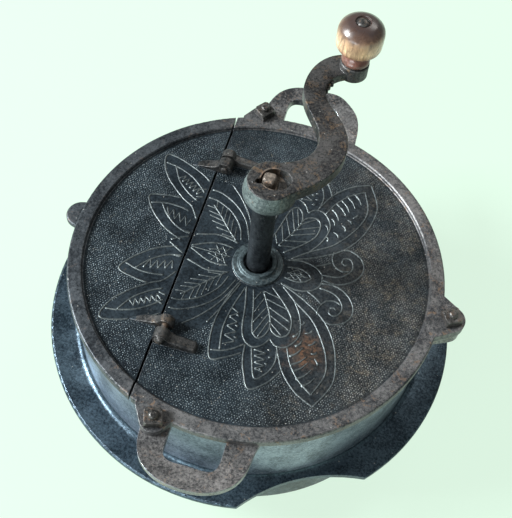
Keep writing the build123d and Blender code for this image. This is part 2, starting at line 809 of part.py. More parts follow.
with BuildPart() as stirrer_hub:
    with BuildSketch(Plane.XY.offset(STIRRER_LOW)):
        Circle(STIRRER_HUB_R)
    extrude(amount=STIRRER_HUB_TOP - STIRRER_LOW)
    fillet(stirrer_hub.edges().filter_by(GeomType.CIRCLE), 1.5)
    with BuildSketch(Plane.XY.offset(ARM_BAR_LOW + ARM_BAR_T)):
        SlotOverall(2 * EAR_OUT, ARM_BAR_W + 2)
    extrude(amount=EAR_T)
    with BuildSketch(Plane.XY.offset(STIRRER_LOW - 1)):
        Circle(SHAFT_R)
    extrude(amount=40, mode=Mode.SUBTRACT)
    with BuildSketch(Plane.XZ.offset(-20)):
        with Locations((0, CROSS_PIN_Z)):
            Circle(CROSS_PIN_R - PRESS)
    extrude(amount=40, mode=Mode.SUBTRACT)
    with BuildSketch(Plane.XY.offset(ARM_BAR_LOW)):
        with Locations((22, 0), (31, 0), (-22, 0), (-31, 0)):
            Circle(2.5)
    extrude(amount=20, mode=Mode.SUBTRACT)
save(stirrer_hub.part, "stirrer_hub")

with BuildPart() as stirrer_pin:
    with BuildSketch(Plane.XZ.offset(-STIRRER_HUB_R - 0.8)):
        with Locations((0, CROSS_PIN_Z)):
            Circle(CROSS_PIN_R)
    extrude(amount=2 * STIRRER_HUB_R + 1.6)
    fillet(stirrer_pin.edges().filter_by(GeomType.CIRCLE), 0.6)
save(stirrer_pin.part, "stirrer_pin")

BLADE_RIVETS = (52.0, 78.0, 104.0)  # distance of each blade rivet from the axis
EAR_RIVETS = (22.0, 31.0)
FLANGE_LOW = ARM_BAR_LOW - BLADE_T


def stirrer_arm(side):
    """Flat bar under the hub's ear, pointing to +x or -x."""
    with BuildPart() as arm:
        with BuildSketch(Plane.XY.offset(ARM_BAR_LOW)):
            with Locations((side * (ARM_BAR_IN + ARM_BAR_OUT) / 2, 0)):
                RectangleRounded(ARM_BAR_OUT - ARM_BAR_IN, ARM_BAR_W, 3)
            with Locations(*[(side * r, 0) for r in BLADE_RIVETS]):
                Circle(2.0, mode=Mode.SUBTRACT)
            with Locations(*[(side * r, 0) for r in EAR_RIVETS]):
                Circle(2.5, mode=Mode.SUBTRACT)
        extrude(amount=ARM_BAR_T)
    return arm.part


def stirrer_blade(side):
    """Angle-section paddle: a flange riveted under the arm and a web that sweeps the floor."""
    with BuildPart() as blade:
        with BuildSketch(Plane.XZ) as web:
            with BuildLine():
                Polyline(
                    (side * BLADE_IN, FLANGE_LOW + BLADE_T),
                    (side * BLADE_IN, BLADE_LOW + 10),
                    (side * (BLADE_IN - 16), BLADE_LOW),
                    (side * (BLADE_OUT - 9), BLADE_LOW),
                    (side * BLADE_OUT, BLADE_LOW + 9),
                    (side * BLADE_OUT, FLANGE_LOW - 6),
                    (side * ARM_BAR_OUT, FLANGE_LOW + BLADE_T),
                    close=True,
                )
            make_face()
        extrude(amount=BLADE_T / 2, both=True)
        with BuildSketch(Plane.XY.offset(FLANGE_LOW)):
            with Locations((side * (BLADE_IN + ARM_BAR_OUT) / 2, 0)):
                Rectangle(ARM_BAR_OUT - BLADE_IN, ARM_BAR_W - 1)
        extrude(amount=BLADE_T)
        # the web is notched around each rivet
        with BuildSketch(Plane.XY.offset(FLANGE_LOW - 3)):
            with Locations(*[(side * r, 0) for r in BLADE_RIVETS]):
                Circle(4.0)
        extrude(amount=3, mode=Mode.SUBTRACT)
        with BuildSketch(Plane.XY.offset(FLANGE_LOW - 1)):
            with Locations(*[(side * r, 0) for r in BLADE_RIVETS]):
                Circle(2.0)
        extrude(amount=6, mode=Mode.SUBTRACT)
    return blade.part


def rivet(x, radius, low, high):
    """Round-head rivet between z = low and z = high, its heads outside that grip."""
    with BuildPart() as one:
        with BuildSketch(Plane.XY.offset(low)):
            with Locations((x, 0)):
                Circle(radius)
        extrude(amount=high - low)
        for z, way in ((high, 1), (low, -1)):
            with BuildSketch(Plane.XY.offset(z)):
                with Locations((x, 0)):
                    Circle(radius * 1.7)
            extrude(amount=way * radius * 0.8, taper=24)
    return one.part


def stirrer_rivets(side):
    """All rivets of one arm, as separate solids in one compound."""
    bar_top = ARM_BAR_LOW + ARM_BAR_T
    ear = [rivet(side * r, 2.5, ARM_BAR_LOW, bar_top + EAR_T) for r in EAR_RIVETS]
    paddle = [rivet(side * r, 2.0, FLANGE_LOW, bar_top) for r in BLADE_RIVETS]
    return Compound(children=ear + paddle)


for side, where in ((1, "right"), (-1, "left")):
    save(stirrer_arm(side), f"stirrer_arm_{where}")
    save(stirrer_blade(side), f"stirrer_blade_{where}")
    save(stirrer_rivets(side), f"stirrer_rivets_{where}")
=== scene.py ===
"""Looks of the stove-top coffee roaster: camera, light, iron and wood materials, and the cast
relief on the lid and flap. Metres, in the CAD frame: +Z up, origin under the middle of the pan."""

import math
import random

import bmesh
import bpy
from mathutils import Matrix, Vector
from mathutils.bvhtree import BVHTree


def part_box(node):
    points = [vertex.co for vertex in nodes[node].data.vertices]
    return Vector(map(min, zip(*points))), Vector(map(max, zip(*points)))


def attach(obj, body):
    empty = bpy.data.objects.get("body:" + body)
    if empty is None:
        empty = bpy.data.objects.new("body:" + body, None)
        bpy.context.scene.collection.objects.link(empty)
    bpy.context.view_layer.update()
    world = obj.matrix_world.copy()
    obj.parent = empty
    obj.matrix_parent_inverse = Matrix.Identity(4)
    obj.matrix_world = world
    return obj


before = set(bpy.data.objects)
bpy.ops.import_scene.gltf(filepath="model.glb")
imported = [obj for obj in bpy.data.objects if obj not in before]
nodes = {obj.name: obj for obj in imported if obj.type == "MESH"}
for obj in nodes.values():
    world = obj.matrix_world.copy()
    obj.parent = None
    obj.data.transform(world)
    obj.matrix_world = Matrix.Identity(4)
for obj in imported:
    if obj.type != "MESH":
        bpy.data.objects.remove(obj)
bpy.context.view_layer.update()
scene = bpy.context.scene
MM = 0.001

# ---- camera --------------------------------------------------------------------------------------
CAM_POS = Vector((57.18, -338.41, 685.44)) * MM
CAM_AZIMUTH = 0.17217
CAM_ELEVATION = 1.014458
CAM_ROLL = 0.120470
CAM_LENS = 63.45

back = Vector(
    (
        math.sin(CAM_AZIMUTH) * math.cos(CAM_ELEVATION),
        -math.cos(CAM_AZIMUTH) * math.cos(CAM_ELEVATION),
        math.sin(CAM_ELEVATION),
    )
)
right = Vector((math.cos(CAM_AZIMUTH), math.sin(CAM_AZIMUTH), 0))
up = back.cross(right)
cam_x = math.cos(CAM_ROLL) * right + math.sin(CAM_ROLL) * up
cam_y = -math.sin(CAM_ROLL) * right + math.cos(CAM_ROLL) * up
camera = bpy.data.objects.new("camera", bpy.data.cameras.new("camera"))
camera.data.sensor_fit = "AUTO"
camera.data.sensor_width = 36.0
camera.data.lens = CAM_LENS
turn = Matrix((cam_x, cam_y, back)).transposed().to_4x4()
camera.matrix_world = Matrix.Translation(CAM_POS) @ turn
scene.collection.objects.link(camera)
scene.camera = camera

# ---- light and floor -----------------------------------------------------------------------------


def area_light(name, place, size, power, colour, aim=(0, 0, 0.1)):
    """Soft rectangular light that shines from place towards aim."""
    data = bpy.data.lights.new(name, "AREA")
    data.shape = "RECTANGLE"
    data.size, data.size_y = size
    data.energy = power
    data.color = colour
    lamp = bpy.data.objects.new(name, data)
    lamp.location = place
    lamp.rotation_euler = (Vector(place) - Vector(aim)).to_track_quat("Z", "Y").to_euler()
    scene.collection.objects.link(lamp)


area_light("window", (-3.1, -0.7, 2.4), (1.3, 1.1), 360, (0.93, 0.98, 1.0))
area_light("low_front", (-1.2, -2.8, 0.9), (2.0, 1.0), 55, (0.90, 0.97, 1.0))
area_light("behind", (0.9, 2.2, 2.4), (1.6, 1.2), 22, (1.0, 0.98, 0.94))

# pale walls round the horizon, darker overhead
world = bpy.data.worlds.new("studio")
world.use_nodes = True
world_nodes = world.node_tree.nodes
direction = world_nodes.new("ShaderNodeTexCoord")
height = world_nodes.new("ShaderNodeSeparateXYZ")
sky = world_nodes.new("ShaderNodeValToRGB")
for position in (0.10, 0.30):
    sky.color_ramp.elements.new(position)
for stop, tone in zip(sky.color_ramp.elements, (0.42, 0.30, 0.21, 0.17)):
    stop.color = (0.90 * tone, 0.98 * tone, 0.97 * tone, 1)
world.node_tree.links.new(direction.outputs["Generated"], height.inputs[0])
world.node_tree.links.new(height.outputs["Z"], sky.inputs["Fac"])
world.node_tree.links.new(sky.outputs["Color"], world_nodes["Background"].inputs["Color"])
scene.world = world
scene.view_settings.view_transform = "Standard"


# ---- node helpers --------------------------------------------------------------------------------


class Graph:
    """Short names for building one material's node tree."""

    def __init__(self, name):
        self.material = bpy.data.materials.new(name)
        self.material.use_nodes = True
        self.tree = self.material.node_tree
        self.shader = self.tree.nodes["Principled BSDF"]
        self.place = self.add("ShaderNodeTexCoord").outputs["Object"]

    def add(self, kind, **settings):
        node = self.tree.nodes.new(kind)
        for key, value in settings.items():
            setattr(node, key, value)
        return node

    def link(self, source, target):
        self.tree.links.new(source, target)

    def put(self, socket, value):
        """Link value into socket if it is an output, or else set it as a constant."""
        if isinstance(value, bpy.types.NodeSocket):
            self.link(value, socket)
        else:
            socket.default_value = value

    def noise(self, size_mm, detail=3.0, rough=0.55, distort=0.0, stretch=(1, 1, 1)):
        """Noise whose features are about size_mm across, 0 to 1."""
        scaled = self.add("ShaderNodeMapping")
        self.link(self.place, scaled.inputs["Vector"])
        scaled.inputs["Scale"].default_value = [s / (size_mm * MM) for s in stretch]
        node = self.add("ShaderNodeTexNoise")
        self.link(scaled.outputs["Vector"], node.inputs["Vector"])
        node.inputs["Scale"].default_value = 1.0
        node.inputs["Detail"].default_value = detail
        node.inputs["Roughness"].default_value = rough
        node.inputs["Distortion"].default_value = distort
        return node.outputs["Fac"]

    def specks(self, cell_mm, radius_mm, keep):
        """1 on small round dots, one in some of the cells of a random grid."""
        scaled = self.add("ShaderNodeMapping")
        self.link(self.place, scaled.inputs["Vector"])
        scaled.inputs["Scale"].default_value = [1 / (cell_mm * MM)] * 3
        cells = self.add("ShaderNodeTexVoronoi")
        self.link(scaled.outputs["Vector"], cells.inputs["Vector"])
        cells.inputs["Scale"].default_value = 1.0
        near = self.maths("LESS_THAN", cells.outputs["Distance"], radius_mm / cell_mm)
        chosen = self.maths("GREATER_THAN", self.split(cells.outputs["Color"], "RED"), 1 - keep)
        return self.maths("MULTIPLY", near, chosen)

    def split(self, colour, channel):
        """One channel of a colour."""
        node = self.add("ShaderNodeSeparateColor")
        self.link(colour, node.inputs[0])
        return node.outputs[("RED", "GREEN", "BLUE").index(channel)]

    def ramp(self, value, *stops):
        """Map value through (position, grey or colour) stops."""
        node = self.add("ShaderNodeValToRGB")
        elements = node.color_ramp.elements
        while len(elements) < len(stops):
            elements.new(0.5)
        for element, (position, colour) in zip(elements, stops):
            element.position = position
            shade = colour if isinstance(colour, tuple) else (colour, colour, colour)
            element.color = (*shade, 1)
        self.link(value, node.inputs["Fac"])
        return node.outputs["Color"]

    def mix(self, fac, a, b, mode="MIX"):
        node = self.add("ShaderNodeMix", data_type="RGBA", blend_type=mode)
        self.put(node.inputs["Factor"], fac)
        for socket, value in ((node.inputs[6], a), (node.inputs[7], b)):
            if isinstance(value, tuple):
                value = (*value, 1)
            self.put(socket, value)
        return node.outputs[2]

    def maths(self, kind, a, b=0.0, clamp=False):
        node = self.add("ShaderNodeMath", operation=kind, use_clamp=clamp)
        self.put(node.inputs[0], a)
        self.put(node.inputs[1], b)
        return node.outputs[0]

    def edges(self, radius_mm):
        """Rounded normal, and a mask that is 1 on corners that a hand would rub."""
        bevel = self.add("ShaderNodeBevel", samples=6)
        bevel.inputs["Radius"].default_value = radius_mm * MM
        normal = self.add("ShaderNodeNewGeometry").outputs["Normal"]
        dot = self.add("ShaderNodeVectorMath", operation="DOT_PRODUCT")
        self.link(bevel.outputs["Normal"], dot.inputs[0])
        self.link(normal, dot.inputs[1])
        mask = self.ramp(dot.outputs["Value"], (0.80, 1.0), (0.985, 0.0))
        return bevel.outputs["Normal"], mask

    def bump(self, height, depth_mm, normal=None, strength=1.0):
        node = self.add("ShaderNodeBump")
        node.inputs["Strength"].default_value = strength
        node.inputs["Distance"].default_value = depth_mm * MM
        self.put(node.inputs["Height"], height)
        if normal is not None:
            self.link(normal, node.inputs["Normal"])
        return node.outputs["Normal"]


class Skin:
    """Colours of one kind of iron surface: dark and light tones, and the rust that comes through
    where a 0 to 1 noise passes rust_from."""

    def __init__(self, dark, light, rust, rust_from):
        self.dark, self.light, self.rust, self.rust_from = dark, light, rust, rust_from


FIELD_SKIN = Skin((0.006, 0.011, 0.016), (0.034, 0.049, 0.062), (0.080, 0.070, 0.056), 0.62)
# paler, warmer tones that the lid's field and its studs take on towards +x, in clouds
PALE_WARM_FIELD_SKIN = Skin((0.010, 0.011, 0.011), (0.062, 0.060, 0.057), (0.120, 0.098, 0.072), 0.51)
PALE_WARM_STUD_SKIN = Skin((0.050, 0.050, 0.046), (0.200, 0.188, 0.165), (0.240, 0.190, 0.125), 0.54)
HINGE_SKIN = Skin((0.013, 0.014, 0.015), (0.096, 0.093, 0.090), (0.105, 0.078, 0.058), 0.54)
NUT_SKIN = Skin((0.018, 0.018, 0.018), (0.140, 0.132, 0.125), (0.145, 0.095, 0.064), 0.53)
BAND_SKIN = Skin((0.036, 0.038, 0.042), (0.190, 0.185, 0.184), (0.215, 0.138, 0.088), 0.55)
# painted shade: darker, bluer tones for the -x side of the lid's band
BAND_SHADE_SKIN = Skin((0.014, 0.018, 0.023), (0.078, 0.092, 0.106), (0.105, 0.076, 0.062), 0.58)
LOOP_SKIN = Skin((0.062, 0.062, 0.065), (0.340, 0.328, 0.323), (0.300, 0.210, 0.150), 0.55)
# partly painted sheen: the pan wall's pale blue-grey stands for the pale room it reflects, over the
# iron's own tone
WALL_SHEEN_SKIN = Skin((0.092, 0.116, 0.150), (0.315, 0.368, 0.446), (0.170, 0.150, 0.138), 0.63)
# painted shade: darker tones for the drum in the shadow of the flange
DRUM_SHADE_SKIN = Skin((0.010, 0.017, 0.025), (0.060, 0.085, 0.115), (0.080, 0.070, 0.066), 0.62)
FLANGE_SKIN = Skin((0.014, 0.025, 0.036), (0.090, 0.132, 0.166), (0.100, 0.086, 0.078), 0.62)
CRANK_SKIN = Skin((0.012, 0.013, 0.015), (0.105, 0.102, 0.100), (0.155, 0.104, 0.064), 0.53)
RECESS_SKIN = Skin((0.110, 0.092, 0.078), (0.380, 0.318, 0.262), (0.330, 0.210, 0.140), 0.52)
# painted highlight: paler teal tones for the hub's flank on the side towards the light
HUB_LIT_SKIN = Skin((0.082, 0.102, 0.106), (0.235, 0.278, 0.280), (0.180, 0.145, 0.115), 0.58)
STEM_SKIN = Skin((0.008, 0.010, 0.013), (0.052, 0.060, 0.068), (0.085, 0.066, 0.056), 0.60)
BOSS_SKIN = Skin((0.022, 0.033, 0.039), (0.105, 0.138, 0.147), (0.150, 0.120, 0.092), 0.58)
STUD_SKIN = Skin((0.022, 0.032, 0.038), (0.128, 0.154, 0.164), (0.160, 0.138, 0.104), 0.57)
RIDGE_SKIN = Skin((0.058, 0.070, 0.074), (0.180, 0.202, 0.202), (0.160, 0.136, 0.104), 0.60)
STIRRER_SKIN = Skin((0.022, 0.018, 0.015), (0.060, 0.052, 0.046), (0.110, 0.060, 0.035), 0.52)
RUSTY_SKIN = Skin((0.036, 0.027, 0.022), (0.130, 0.086, 0.060), (0.200, 0.096, 0.052), 0.50)


def paint(g, skin, tone, patch):
    """Base colour of one skin, and where its rust is."""
    colour = g.mix(g.ramp(tone, (0.42, 0.0), (0.59, 1.0)), skin.dark, skin.light)
    rusty = g.ramp(patch, (skin.rust_from, 0.0), (skin.rust_from + 0.07, 1.0))
    return g.mix(g.maths("MULTIPLY", rusty, 0.85), colour, skin.rust), rusty


def iron(name, skin, rough, zones=(), metallic=0.6, edge=0.6, grain=0.10, pits=0.18, dust=0.12):
    """Old cast iron with rubbed edges, pits and specks of dust. Each zone is another skin and a
    function that makes the mask of where it is."""
    g = Graph(name)
    soft, worn = g.edges(edge)
    cloud = g.noise(20, 4, 0.6, 0.4)
    fine = g.noise(1.9, 4, 0.75)
    tone = g.maths("ADD", g.maths("MULTIPLY", cloud, 0.42), g.maths("MULTIPLY", fine, 0.58))
    blotch = g.noise(8, 5, 0.75, 0.8)
    patch = g.maths("ADD", g.maths("MULTIPLY", blotch, 0.65), g.maths("MULTIPLY", fine, 0.35))
    colour, rusty = paint(g, skin, tone, patch)
    for other, mask_maker in zones:
        colour = g.mix(mask_maker(g), colour, paint(g, other, tone, patch)[0])
    pit = g.ramp(g.noise(1.2, 2, 0.5), (0.31, 0.75), (0.38, 0.0))
    colour = g.mix(pit, colour, tuple(0.35 * c for c in skin.dark))
    rub = g.maths("MULTIPLY", worn, g.ramp(fine, (0.35, 0.2), (0.65, 1.0)))
    bare = tuple(1.6 * c + 0.05 for c in skin.light)
    colour = g.mix(g.maths("MULTIPLY", rub, 0.6), colour, bare)
    colour = g.mix(g.maths("MULTIPLY", g.specks(3.6, 0.42, dust), 0.8), colour, (0.42, 0.41, 0.38))
    g.link(colour, g.shader.inputs["Base Color"])
    shine = g.maths("ADD", g.maths("MULTIPLY", g.noise(5, 3, 0.6), 0.30), rough - 0.15)
    shine = g.maths("ADD", shine, g.maths("MULTIPLY", rusty, 0.16))
    shine = g.maths("SUBTRACT", shine, g.maths("MULTIPLY", rub, 0.10), clamp=True)
    g.link(shine, g.shader.inputs["Roughness"])
    g.shader.inputs["Metallic"].default_value = metallic
    normal = g.bump(g.noise(3.2, 4, 0.65), pits, soft, 0.8)
    normal = g.bump(g.noise(0.6, 2, 0.6), grain, normal, 0.8)
    g.link(normal, g.shader.inputs["Normal"])
    return g.material


# heights and radii, in metres, where one skin gives way to another
FIELD_HIGH = 0.1279
BAND_INNER = 0.1238
BOSS_LOW, BOSS_REACH = 0.1270, 0.0195
HUB_LOW, HUB_RIM = 0.2106, 0.2273
HUB_CORE, HUB_REACH = 0.0125, 0.0198
RECESS_X, RECESS_Y = 0.0030, 0.0020
RECESS_REACH = 0.0087
RECESS_LOW = 0.2190
STEM_REACH = 0.010
FLANGE_HIGH = 0.0592
DRUM_HIGH, DRUM_REACH = 0.046, 0.1345
HANDLES_LOW, HANDLES_INNER = 0.1115, 0.1325
KNOB_RAISE = 0.003


def where_is(g):
    """x, y, z and the distance from the spindle's axis, in metres."""
    spot = g.add("ShaderNodeSeparateXYZ")
    g.link(g.place, spot.inputs[0])
    x, y, z = spot.outputs
    squares = g.maths("ADD", g.maths("POWER", x, 2.0), g.maths("POWER", y, 2.0))
    return x, y, z, g.maths("SQRT", squares)


def all_of(g, *masks):
    """1 where every mask is 1."""
    product = masks[0]
    for other in masks[1:]:
        product = g.maths("MULTIPLY", product, other)
    return product


def on_field(g):
    """1 inside the lid's raised band and below the tops of the hinge parts."""
    _, _, z, radius = where_is(g)
    return all_of(g, g.maths("LESS_THAN", z, FIELD_HIGH), g.maths("LESS_THAN", radius, BAND_INNER))


def on_boss(g):
    """1 on the raised boss round the spindle."""
    _, _, z, radius = where_is(g)
    return all_of(g, g.maths("GREATER_THAN", z, BOSS_LOW), g.maths("LESS_THAN", radius, BOSS_REACH))


def on_band_shade(g):
    """Painted shade: fades in on the -x side of the band, which it makes darker and bluer."""
    x, _, _, radius = where_is(g)
    shade = g.ramp(g.maths("ADD", x, 0.1), (0.01, 0.85), (0.075, 0.0))
    return all_of(g, shade, g.maths("GREATER_THAN", radius, BAND_INNER))


def on_hinges(g):
    """1 on the straps, lugs and bars that stand on the field."""
    _, _, z, radius = where_is(g)
    high = g.maths("GREATER_THAN", z, FIELD_HIGH)
    ring = g.maths("GREATER_THAN", radius, 0.0300)
    return all_of(g, high, ring, g.maths("LESS_THAN", radius, BAND_INNER))


def on_lit_hub_side(g):
    """1 on the flank of the crank's hub, below its rim, strongest on the -x and -y side, where its
    paler teal skin is a painted highlight.
    """
    x, y, z, radius = where_is(g)
    low = g.maths("LESS_THAN", z, HUB_RIM)
    high = g.maths("GREATER_THAN", z, HUB_LOW)
    flank = g.maths("GREATER_THAN", radius, HUB_CORE)
    near = g.maths("LESS_THAN", radius, HUB_REACH)
    # painted highlight: full on the -x and -y side of the flank, fading out towards +x and +y
    lit_side = g.ramp(g.maths("ADD", x, g.maths("MULTIPLY", y, 0.7)), (0.0, 1.0), (0.009, 0.15))
    return all_of(g, low, high, flank, near, lit_side)


def in_recess(g):
    """1 in the recess on top of the hub, and on the peened end that fills it."""
    x, y, z, _ = where_is(g)
    across = g.maths("ADD", x, -RECESS_X)
    along = g.maths("ADD", y, -RECESS_Y)
    squares = (g.maths("MULTIPLY", across, across), g.maths("MULTIPLY", along, along))
    near = g.maths("LESS_THAN", g.maths("ADD", *squares), RECESS_REACH**2)
    return all_of(g, near, g.maths("GREATER_THAN", z, RECESS_LOW))


def on_stem(g):
    """1 on the spindle between the lid and the hub."""
    _, _, z, radius = where_is(g)
    return all_of(g, g.maths("LESS_THAN", z, HUB_LOW), g.maths("LESS_THAN", radius, STEM_REACH))


def on_flange(g):
    """1 on the pan's lower flange and the drum under it."""
    return g.maths("LESS_THAN", where_is(g)[2], FLANGE_HIGH)


def on_shaded_drum(g):
    """1 on the drum under the flange, which gets a darker skin there as painted shade."""
    _, _, z, radius = where_is(g)
    return all_of(g, g.maths("LESS_THAN", z, DRUM_HIGH), g.maths("LESS_THAN", radius, DRUM_REACH))


def on_plus_x_clouds(g):
    """Fades in towards +x on the lid's field, in clouds."""
    x, _, z, radius = where_is(g)
    side = g.ramp(x, (0.01, 0.0), (0.085, 0.75))
    clouds = g.ramp(g.noise(24, 3, 0.6), (0.36, 0.35), (0.60, 1.0))
    return g.maths("MULTIPLY", g.maths("MULTIPLY", side, clouds), on_field(g))


def near_spot(x_mm, y_mm, reach_mm):
    """Mask maker: a ragged patch round a point of the lid's field."""

    def mask_maker(g):
        x, y, _, _ = where_is(g)
        dx = g.maths("SUBTRACT", x, x_mm * MM)
        dy = g.maths("SUBTRACT", y, y_mm * MM)
        squares = g.maths("ADD", g.maths("POWER", dx, 2.0), g.maths("POWER", dy, 2.0))
        gap = g.maths("DIVIDE", g.maths("SQRT", squares), reach_mm * MM)
        ragged = g.maths("ADD", gap, g.maths("MULTIPLY", g.noise(7, 4, 0.7), 0.9))
        return g.maths("MULTIPLY", g.ramp(ragged, (0.55, 0.85), (0.95, 0.0)), on_field(g))

    return mask_maker


def on_handles(g):
    """1 on the loop handles and the bolt lug, above the pan's wall and outside it."""
    _, _, z, radius = where_is(g)
    high = g.maths("GREATER_THAN", z, HANDLES_LOW)
    return g.maths("MULTIPLY", high, g.maths("GREATER_THAN", radius, HANDLES_INNER))


field_zones = ((PALE_WARM_FIELD_SKIN, on_plus_x_clouds), (RUSTY_SKIN, near_spot(50, -58, 34)))
LID = iron(
    "lid_iron",
    BAND_SKIN,
    0.44,
    (
        (BAND_SHADE_SKIN, on_band_shade),
        (FIELD_SKIN, on_field),
        *field_zones,
        (BOSS_SKIN, on_boss),
        (HINGE_SKIN, on_hinges),
    ),
)
stud_zones = ((PALE_WARM_STUD_SKIN, on_plus_x_clouds), field_zones[1])
STUD = iron("stud_iron", STUD_SKIN, 0.36, stud_zones, dust=0.02)
RIDGE = iron("ridge_iron", RIDGE_SKIN, 0.38, edge=0.3)
pan_zones = ((LOOP_SKIN, on_handles), (FLANGE_SKIN, on_flange), (DRUM_SHADE_SKIN, on_shaded_drum))
PAN = iron("pan_iron", WALL_SHEEN_SKIN, 0.36, pan_zones, metallic=0.75)
crank_zones = ((HUB_LIT_SKIN, on_lit_hub_side), (STEM_SKIN, on_stem), (RECESS_SKIN, in_recess))
CRANK = iron("crank_iron", CRANK_SKIN, 0.44, crank_zones, pits=0.34, grain=0.16)
FASTENER = iron("fastener_iron", NUT_SKIN, 0.38)
STIRRER = iron("stirrer_iron", STIRRER_SKIN, 0.45)


def turned_wood():
    """Hardwood worn by hands: dark and dull on the crown, polished tan round the side and
    reddish in the neck."""
    g = Graph("knob_wood")
    z = where_is(g)[2]
    grain = g.noise(3.2, 5, 0.65, 1.0, stretch=(1, 1, 0.25))
    cloud = g.noise(7, 4, 0.6, 0.5)
    ragged = g.maths("ADD", z, g.maths("MULTIPLY", cloud, 0.006))
    span = g.add("ShaderNodeMapRange")
    g.link(ragged, span.inputs["Value"])
    span.inputs["From Min"].default_value = KNOB_Z[0]
    span.inputs["From Max"].default_value = KNOB_Z[1]
    height = span.outputs[0]
    light = g.ramp(
        height,
        (0.0, (0.175, 0.082, 0.062)),
        (0.36, (0.205, 0.062, 0.036)),
        (0.54, (0.820, 0.560, 0.330)),
        (0.72, (0.560, 0.350, 0.210)),
        (0.86, (0.135, 0.078, 0.054)),
        (0.97, (0.050, 0.033, 0.030)),
    )
    dark = g.mix(0.62, light, (0.050, 0.026, 0.020))
    colour = g.mix(g.ramp(grain, (0.38, 0.0), (0.60, 1.0)), dark, light)
    g.link(colour, g.shader.inputs["Base Color"])
    g.link(g.ramp(cloud, (0.3, 0.22), (0.7, 0.40)), g.shader.inputs["Roughness"])
    g.shader.inputs["Coat Weight"].default_value = 0.35
    g.shader.inputs["Coat Roughness"].default_value = 0.20
    g.link(g.bump(grain, 0.10, None, 0.5), g.shader.inputs["Normal"])
    return g.material


KNOB_Z = [corner[2] + KNOB_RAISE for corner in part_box("knob")]
WOOD = turned_wood()


def bright_paper():
    """Pale studio paper that is lit evenly all over, with a faint variation of tone."""
    g = Graph("paper")
    cloud = g.noise(260, 2, 0.5)
    g.link(g.mix(cloud, (0.085, 0.115, 0.095), (0.095, 0.125, 0.105)), g.shader.inputs["Base Color"])
    g.shader.inputs["Roughness"].default_value = 0.9
    g.shader.inputs["Specular IOR Level"].default_value = 0.1
    g.shader.inputs["Emission Color"].default_value = (0.800, 1.0, 0.835, 1)
    g.shader.inputs["Emission Strength"].default_value = 0.85
    return g.material


def mesh_object(name, bm, material, body, smooth=True):
    """Turn a bmesh into a finished piece that rides on a body."""
    data = bpy.data.meshes.new(name)
    bm.to_mesh(data)
    bm.free()
    for face in data.polygons:
        face.use_smooth = smooth
    data.materials.append(material)
    piece = bpy.data.objects.new(name, data)
    scene.collection.objects.link(piece)
    if body:
        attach(piece, body)
    return piece


floor_mesh = bmesh.new()
bmesh.ops.create_grid(floor_mesh, x_segments=4, y_segments=4, size=30.0)
floor = mesh_object("floor", floor_mesh, bright_paper(), None)

# ---- materials and edges of the CAD nodes --------------------------------------------------------
LOOK = {
    "pan": PAN,
    "lid_plate": LID,
    "flap": LID,
    "spindle": CRANK,
    "crank_arm": CRANK,
    "knob": WOOD,
}
for name, node in nodes.items():
    look = LOOK.get(name, STIRRER if name.startswith("stirrer") else FASTENER)
    node.data.materials.clear()
    node.data.materials.append(look)
    for face in node.data.polygons:
        face.use_smooth = True
    weld = node.modifiers.new("weld", "WELD")
    weld.merge_threshold = 1e-6
    split = node.modifiers.new("sharp", "EDGE_SPLIT")
    split.split_angle = math.radians(32)

# ---- cast relief on the lid and the flap ---------------------------------------------------------
LID_TOP = 130.0
FIELD_Z = LID_TOP - 3.2
FIELD_R = 123.4
SPLIT_X = -52.1
SPLIT_CLEAR = 1.3
BOSS_R = 18.0


def smooth_line(points, step=1.4, closed=False):
    """Points along a Catmull-Rom curve through the given plan points, step millimetres apart."""
    pts = [Vector((x, y)) for x, y in points]
    if closed:
        pts = [pts[-1], *pts, pts[0], pts[1]]
    else:
        pts = [2 * pts[0] - pts[1], *pts, 2 * pts[-1] - pts[-2]]
    line = []
    for a, b, c, d in zip(pts, pts[1:], pts[2:], pts[3:]):
        count = max(1, round((c - b).length / step))
        for i in range(count):
            t = i / count
            line.append(
                0.5
                * (
                    2 * b
                    + (c - a) * t
                    + (2 * a - 5 * b + 4 * c - d) * t * t
                    + (3 * b - a - 3 * c + d) * t**3
                )
            )
    line.append(pts[-2])
    return line


def inside(point, outline):
    """True where a plan point lies inside a closed outline."""
    hit = False
    for a, b in zip(outline, outline[1:] + outline[:1]):
        if (a.y > point.y) != (b.y > point.y):
            if point.x < (b.x - a.x) * (point.y - a.y) / (b.y - a.y) + a.x:
                hit = not hit
    return hit


def add_ridge(bm, line, start_w, end_w, height):
    """Half-round ridge along a plan line, its width going from start_w to end_w."""
    shape = [(-1.0, -0.35), (-0.8, 0.45), (0.0, 1.0), (0.8, 0.45), (1.0, -0.35)]
    rows = []
    last = len(line) - 1
    for i, point in enumerate(line):
        ahead = line[min(i + 1, last)] - line[max(i - 1, 0)]
        side = Vector((-ahead.y, ahead.x)).normalized()
        width = start_w + (end_w - start_w) * i / last
        tall = height * (0.55 if i in (0, last) else 1.0)
        row = []
        for across, rise in shape:
            flat = point + side * across * width / 2
            row.append(bm.verts.new((flat.x * MM, flat.y * MM, (FIELD_Z + rise * tall) * MM)))
        rows.append(row)
    for one, two in zip(rows, rows[1:]):
        for k in range(len(shape) - 1):
            bm.faces.new((one[k], two[k], two[k + 1], one[k + 1]))
    for row, order in ((rows[0], 1), (rows[-1], -1)):
        bm.faces.new(row[::order])


relief = {"lid": bmesh.new(), "flap": bmesh.new()}
MASKS = []
ground = {}
for key, name in (("lid", "lid_plate"), ("flap", "flap")):
    data = nodes[name].data
    corners = [v.co for v in data.vertices]
    ground[key] = BVHTree.FromPolygons(corners, [tuple(p.vertices) for p in data.polygons])
GROUND_RISE = 0.25


